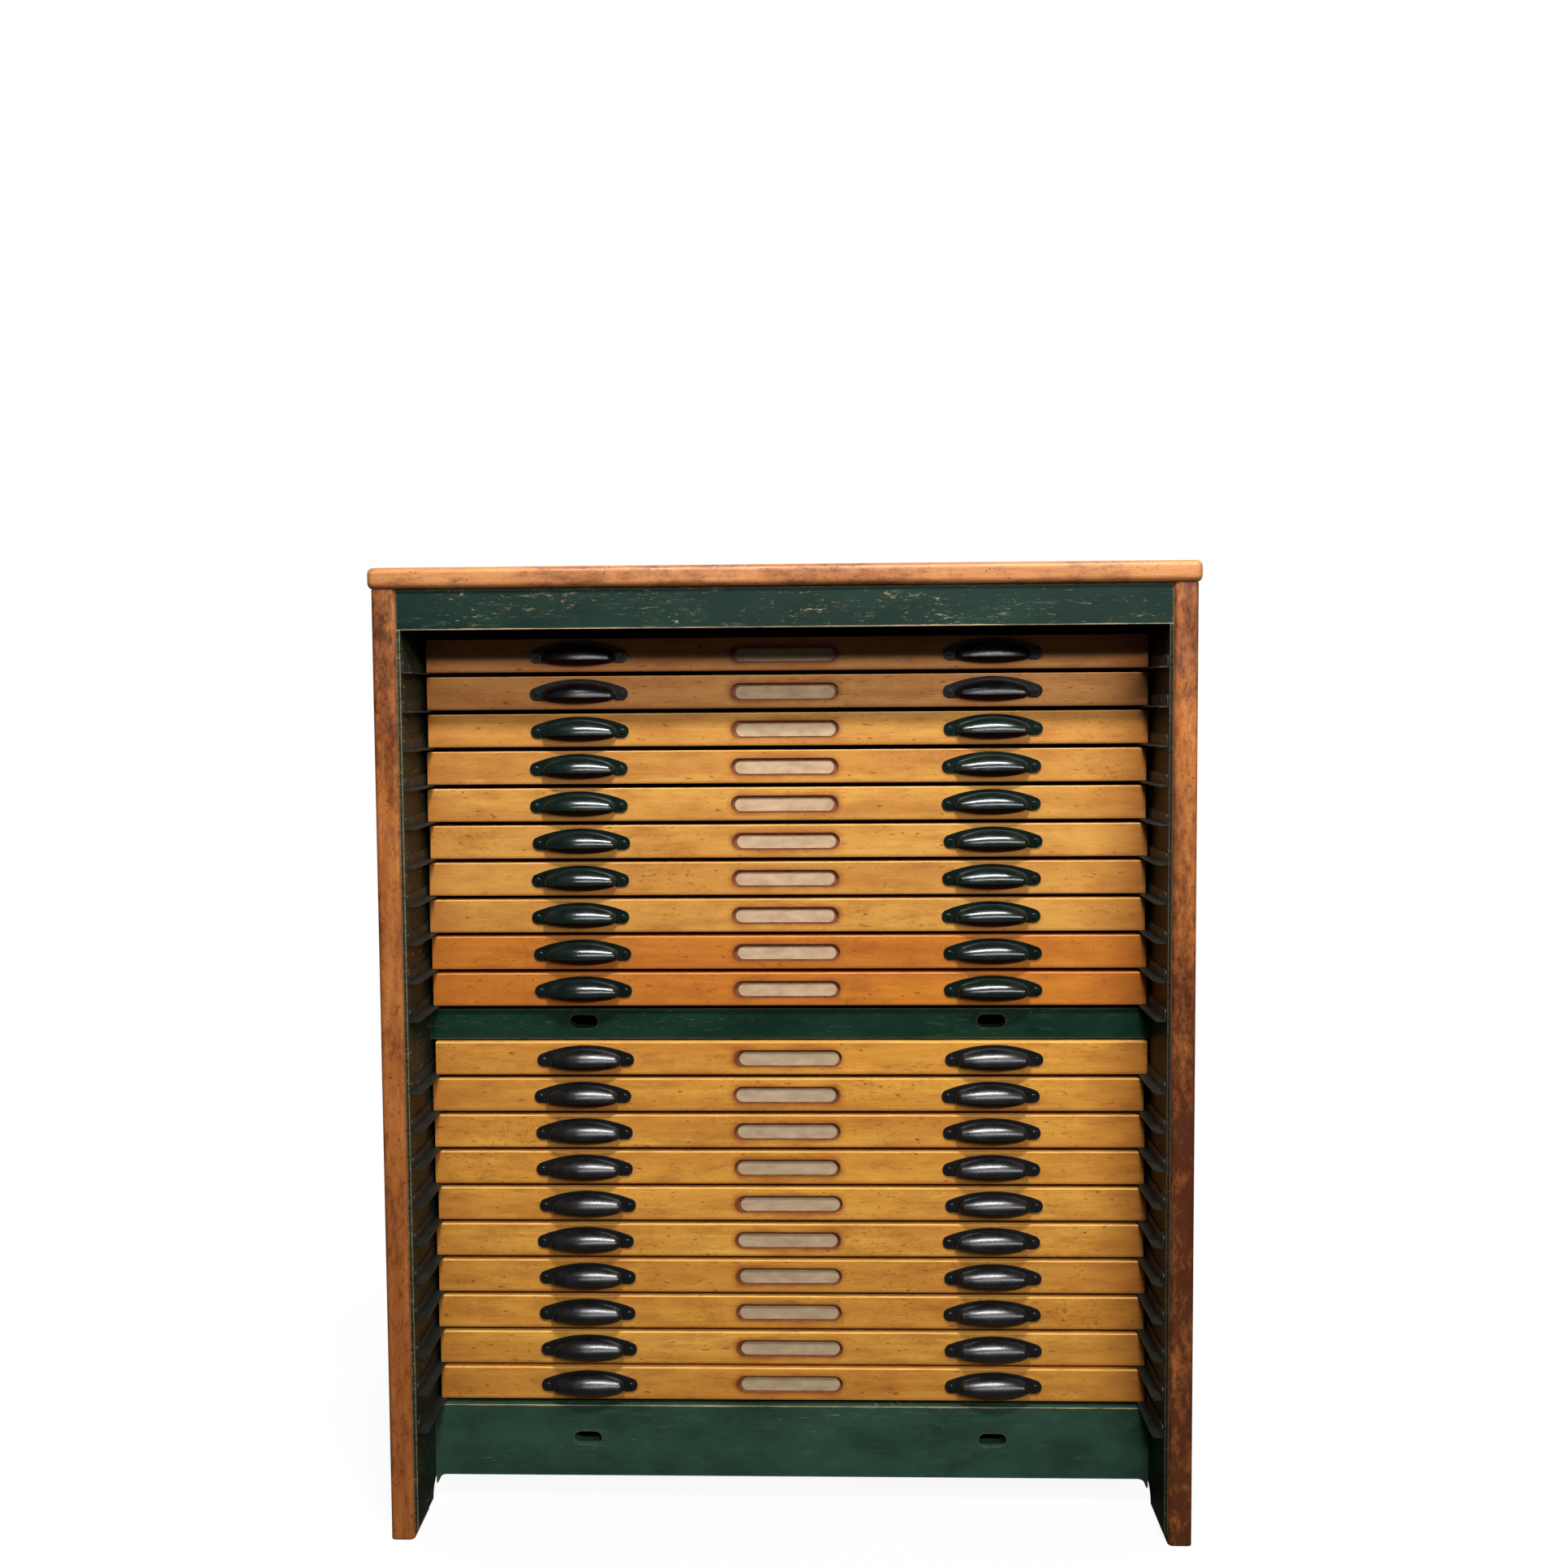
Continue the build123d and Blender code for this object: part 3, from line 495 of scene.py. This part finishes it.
def studio_world(ambient):
    """White for the camera, softer light for everything else."""
    world = bpy.data.worlds.new("studio")
    bpy.context.scene.world = world
    world.use_nodes = True
    tree = world.node_tree
    background = tree.nodes["Background"]
    path = tree.nodes.new("ShaderNodeLightPath")
    strength = tree.nodes.new("ShaderNodeMapRange")
    tree.links.new(path.outputs["Is Camera Ray"], strength.inputs["Value"])
    strength.inputs["To Min"].default_value = ambient
    strength.inputs["To Max"].default_value = 1.0
    background.inputs["Color"].default_value = (1, 1, 1, 1)
    tree.links.new(strength.outputs[0], background.inputs["Strength"])


def strip_light(name, place, target, width, height, power, sheen=False):
    """A soft box that faces a point. It lights the scene, or with sheen shows in gloss only."""
    data = bpy.data.lights.new(name, "AREA")
    data.shape = "RECTANGLE"
    data.size = width
    data.size_y = height
    data.energy = power
    lamp = bpy.data.objects.new(name, data)
    bpy.context.scene.collection.objects.link(lamp)
    direction = Vector(target) - Vector(place)
    lamp.rotation_euler = direction.to_track_quat("-Z", "Y").to_euler()
    lamp.location = place
    lamp.visible_diffuse = not sheen
    lamp.visible_glossy = sheen
    lamp.visible_camera = False


def camera(place, yaw, pitch, roll, lens, shift_y):
    """A camera turned to the right by yaw, down by pitch and round its axis by roll."""
    forward = math.cos(pitch)
    ahead = Vector((math.sin(yaw) * forward, math.cos(yaw) * forward, -math.sin(pitch)))
    level = Vector((math.cos(yaw), -math.sin(yaw), 0))
    upward = level.cross(ahead)
    right = level * math.cos(roll) + upward * math.sin(roll)
    top = upward * math.cos(roll) - level * math.sin(roll)
    data = bpy.data.cameras.new("camera")
    data.lens = lens
    data.sensor_width = SENSOR_WIDTH
    data.shift_y = shift_y
    data.clip_end = 50
    made = bpy.data.objects.new("camera", data)
    bpy.context.scene.collection.objects.link(made)
    turn = Matrix((right, top, -ahead)).transposed()
    made.matrix_world = Matrix.Translation(place) @ turn.to_4x4()
    bpy.context.scene.camera = made


studio_floor()
studio_world(ambient=0.035)
case_fronts = (0, -0.3, 0.7)
strip_light("high_strip", (0.1, -1.46, 2.75), case_fronts, width=0.5, height=0.12, power=66)
strip_light("low_strip", (1.0, -3.0, 2.35), case_fronts, width=2.8, height=0.14, power=84)
strip_light("high_sheen", (0.25, -1.5, 2.75), case_fronts, width=2.0, height=0.26, power=110,
            sheen=True)
strip_light("low_sheen", (1.0, -3.0, 2.3), case_fronts, width=4.6, height=0.2, power=75,
            sheen=True)
strip_light("back_light", (0.6, 3.4, 2.3), (0, 0.3, 0.6), width=2.2, height=1.6, power=150)
strip_light("left_light", (-3.2, 1.0, 2.2), (-0.4, 0.1, 0.6), width=1.4, height=1.4, power=70)
strip_light("right_light", (3.2, 1.0, 2.2), (0.4, 0.1, 0.6), width=1.4, height=1.4, power=70)
camera(place=(0.042, POST_FRONT - 1.640, 1.06476), yaw=-0.02487693, pitch=0.04877701,
       roll=-0.00725341, lens=FOCAL_LENGTH / PHOTO_SIZE * SENSOR_WIDTH,
       shift_y=VERTICAL_SHIFT / PHOTO_SIZE)
bpy.context.scene.view_settings.view_transform = "Standard"
